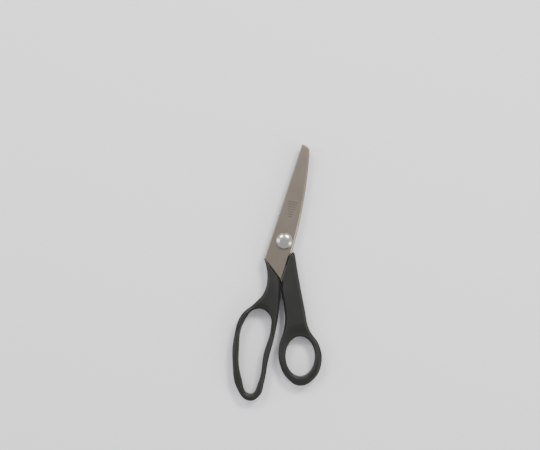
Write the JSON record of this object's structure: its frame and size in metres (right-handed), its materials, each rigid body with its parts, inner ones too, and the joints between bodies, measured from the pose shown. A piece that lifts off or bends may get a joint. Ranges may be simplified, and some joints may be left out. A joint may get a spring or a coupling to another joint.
{
  "type": "pinking shears",
  "caption": "Pinking shears with satin steel blades, zigzag cutting teeth, a domed pivot and black moulded handles with a finger loop and a thumb loop.",
  "frame": {"origin": "centre of the pivot nut's flat back face, on the pivot axis, in the plane the handles rest on", "axes": "+Y from the pivot towards the blades' tips, +Z along the pivot towards the domed bolt head, +X towards the thumb loop"},
  "size_m": [0.0748, 0.2151, 0.0147],
  "materials": {
    "blade_steel": "warm grey satin, ground",
    "handle_plastic": "black moulded plastic, semi-matte",
    "pivot_chrome": "polished",
    "pivot_washer": "natural low-friction plastic"
  },
  "bodies": {
    "finger_side": {"rear_blade": "blade_steel", "finger_handle": "handle_plastic", "pivot_bolt": "pivot_chrome", "pivot_nut": "pivot_chrome", "blade_washer": "pivot_washer", "head_washer": "pivot_washer", "nut_washer": "pivot_washer"},
    "thumb_side": {"front_blade": "blade_steel", "thumb_handle": "handle_plastic", "pivot_bushing": "pivot_washer"}
  },
  "joints": [
    {"name": "blade_pivot", "type": "hinge", "parent": "finger_side", "child": "thumb_side", "pos_m": [0, 0, 0.007], "axis": [0, 0, 1], "range_deg": [0, 40]}
  ]
}
